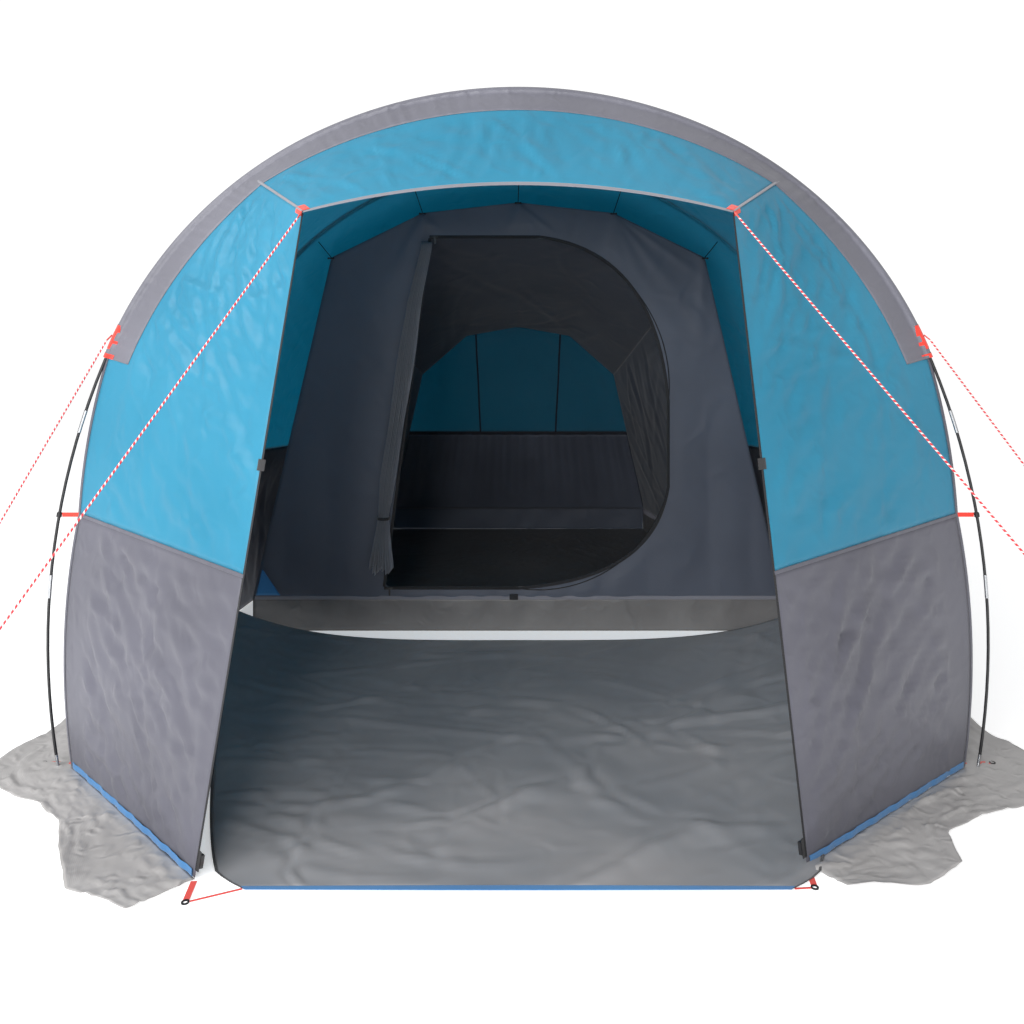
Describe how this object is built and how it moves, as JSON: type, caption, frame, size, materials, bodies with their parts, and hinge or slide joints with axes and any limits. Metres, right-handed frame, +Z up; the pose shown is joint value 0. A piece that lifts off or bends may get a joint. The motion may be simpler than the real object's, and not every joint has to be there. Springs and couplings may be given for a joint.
{
  "type": "tunnel tent",
  "caption": "Tunnel tent pitched with its porch open: sectional hoops in sleeves, blue and grey fly, hung inner tent with D-shaped door, groundsheet, mud skirts and guys.",
  "frame": {"origin": "centre of the pitched tent's footprint, on the ground", "axes": "+X to the right of someone facing the doorway, +Y to the rear, +Z up"},
  "size_m": [4.157, 5.0098, 2.2092],
  "materials": {
    "black_mesh": "mosquito mesh",
    "blue_polyester": "coated polyester, slightly see-through",
    "blue_tape": "woven tape",
    "clip_plastic": "moulded nylon",
    "elastic": "black elastic cord",
    "eyelet_steel": "blackened steel ring",
    "fibreglass": "pultruded glass fibre tube, black",
    "grey_piping": "binding tape",
    "grey_polyester": "coated polyester",
    "groundsheet": "coated polyester groundsheet",
    "guy_rope": "braided cord, red and white",
    "inner_polyester": "breathable polyester",
    "pe_floor": "woven polyethylene sheet",
    "pe_skirt": "woven polyethylene sheet",
    "red_webbing": "woven webbing",
    "slider_black": "enamelled zinc",
    "steel": "plated steel",
    "zip_black": "coil zip"
  },
  "bodies": {
    "tent": {"awning": "blue_polyester", "awning_piping": "grey_piping", "base_trim": "blue_tape", "door_ties": "elastic", "fly_roof_front": "blue_polyester", "fly_roof_rear": "blue_polyester", "fly_wall_left": "grey_polyester", "fly_wall_right": "grey_polyester", "front_door_roll": "blue_polyester", "front_hoop_sections": "fibreglass", "front_sleeve": "grey_polyester", "front_zip_left": "zip_black", "front_zip_right": "zip_black", "guy_peak_left": "guy_rope", "guy_peak_right": "guy_rope", "guy_pegs": "steel", "guy_shoulder_left": "guy_rope", "guy_shoulder_right": "guy_rope", "inner_ceiling": "inner_polyester", "inner_door_roll": "inner_polyester", "inner_floor": "pe_floor", "inner_front_wall": "inner_polyester", "inner_hangers": "elastic", "inner_rear_mesh": "black_mesh", "inner_rear_wall": "inner_polyester", "inner_side_left": "inner_polyester", "inner_side_right": "inner_polyester", "inner_zip": "zip_black", "middle_hoop_sections": "fibreglass", "middle_sleeve": "grey_polyester", "peg_eyelets": "eyelet_steel", "pole_clips": "clip_plastic", "pole_ferrules": "steel", "pole_tips": "steel", "rear_hoop_sections": "fibreglass", "rear_panel_lower": "grey_polyester", "rear_panel_upper": "blue_polyester", "rear_sleeve": "grey_polyester", "shock_cords": "elastic", "skirt_left": "pe_skirt", "skirt_rear": "pe_skirt", "skirt_right": "pe_skirt", "vent_mesh": "black_mesh", "vestibule_groundsheet": "groundsheet", "webbing": "red_webbing", "wing_lower_left": "grey_polyester", "wing_lower_right": "grey_polyester", "wing_upper_left": "blue_polyester", "wing_upper_right": "blue_polyester"},
    "front_slider_left": {"front_slider_left": "slider_black"},
    "front_slider_right": {"front_slider_right": "slider_black"},
    "inner_slider_low": {"inner_slider_low": "slider_black"},
    "inner_slider_high": {"inner_slider_high": "slider_black"},
    "vent_hood": {"vent_hood": "blue_polyester"},
    "runner_peak_left": {"runner_peak_left": "clip_plastic"},
    "runner_peak_right": {"runner_peak_right": "clip_plastic"},
    "runner_shoulder_left": {"runner_shoulder_left": "clip_plastic"},
    "runner_shoulder_right": {"runner_shoulder_right": "clip_plastic"}
  },
  "joints": [
    {"name": "front_zip_left_slide", "type": "slide", "parent": "tent", "child": "front_slider_left", "axis": [0.1219, 0.1454, 0.9818], "range_m": [0, 1.6]},
    {"name": "front_zip_right_slide", "type": "slide", "parent": "tent", "child": "front_slider_right", "axis": [-0.0835, 0.1128, 0.9901], "range_m": [0, 1.6]},
    {"name": "inner_zip_low_slide", "type": "slide", "parent": "tent", "child": "inner_slider_low", "axis": [1, 0, 0], "range_m": [0, 0.55]},
    {"name": "inner_zip_high_slide", "type": "slide", "parent": "tent", "child": "inner_slider_high", "axis": [1, 0, 0], "range_m": [0, 0.45]},
    {"name": "vent_hood_hinge", "type": "hinge", "parent": "tent", "child": "vent_hood", "pos_m": [-0.005, 1.48609, 1.60857], "axis": [1, 0, 0], "range_deg": [-32, 25]},
    {"name": "runner_peak_left_slide", "type": "slide", "parent": "tent", "child": "runner_peak_left", "axis": [-0.4838, -0.32, -0.8146], "range_m": [-0.9, 0.25]},
    {"name": "runner_peak_right_slide", "type": "slide", "parent": "tent", "child": "runner_peak_right", "axis": [0.5551, -0.2979, -0.7766], "range_m": [-0.9, 0.25]},
    {"name": "runner_shoulder_left_slide", "type": "slide", "parent": "tent", "child": "runner_shoulder_left", "axis": [-0.4322, -0.1891, -0.8817], "range_m": [-0.7, 0.2]},
    {"name": "runner_shoulder_right_slide", "type": "slide", "parent": "tent", "child": "runner_shoulder_right", "axis": [0.4925, -0.2834, -0.8229], "range_m": [-0.3, 0.75]}
  ]
}
